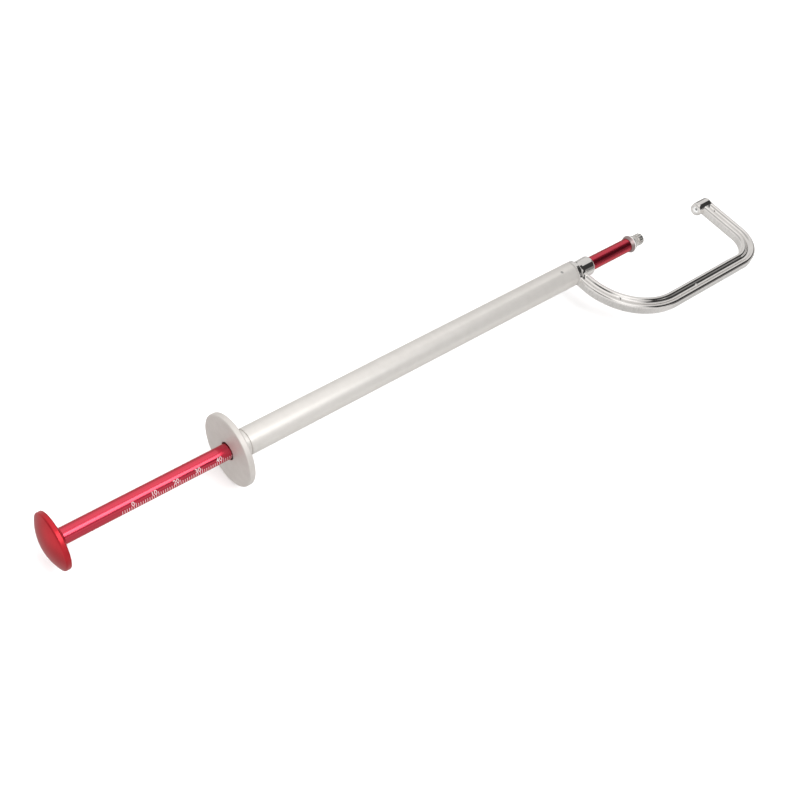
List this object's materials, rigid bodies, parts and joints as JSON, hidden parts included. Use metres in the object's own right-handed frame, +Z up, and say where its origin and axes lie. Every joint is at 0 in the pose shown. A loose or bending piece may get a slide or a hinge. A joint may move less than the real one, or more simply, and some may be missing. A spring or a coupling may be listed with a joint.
{
  "type": "brake disc gauge",
  "caption": "Long sliding gauge with a C-shaped frame at one end, for measuring the thickness of a brake disc between a spring-backed plunger tip and an anvil.",
  "frame": {"origin": "centre of the anvil's contact face, which is the zero of the measurement", "axes": "+X along the plunger from the thumb knob to the anvil; the C-frame lies in the XY plane with its back on the -Y side; +Z up, square to the C-frame"},
  "size_m": [0.39, 0.0584, 0.0328],
  "materials": {
    "frame_chrome": "bright plated",
    "hard_steel": "ground",
    "bush_brass": "turned",
    "wiper_rubber": "matte black",
    "pin_steel": "dark",
    "barrel_silver": "blasted and clear anodised",
    "inner_steel": "plain",
    "flange_silver": "blasted and clear anodised",
    "rod_red": "glossy red anodised, with a white millimetre scale",
    "knob_red": "satin red anodised",
    "tip_steel": "dull nickel"
  },
  "bodies": {
    "frame": {"c_frame": "frame_chrome", "anvil_insert": "hard_steel", "front_guide_bush": "bush_brass", "front_wiper_ring": "wiper_rubber", "guide_pin": "pin_steel", "barrel_tube": "barrel_silver", "front_spring_washer": "inner_steel", "rear_guide_bush": "bush_brass", "rear_wiper_ring": "wiper_rubber", "stop_buffer": "wiper_rubber", "finger_flange": "flange_silver", "return_spring": "inner_steel"},
    "plunger": {"measuring_rod": "rod_red", "thumb_knob": "knob_red", "knob_stud": "inner_steel", "retaining_ring": "inner_steel", "rear_spring_washer": "inner_steel", "tip_ferrule": "tip_steel", "tip_stud": "inner_steel", "contact_tip": "tip_steel"}
  },
  "joints": [
    {"name": "plunger_slide", "type": "slide", "parent": "frame", "child": "plunger", "axis": [1, 0, 0], "range_m": [0, 0.04398], "stiffness_N_per_m": 150, "springref_m": -0.033, "deforming": ["return_spring"]}
  ]
}
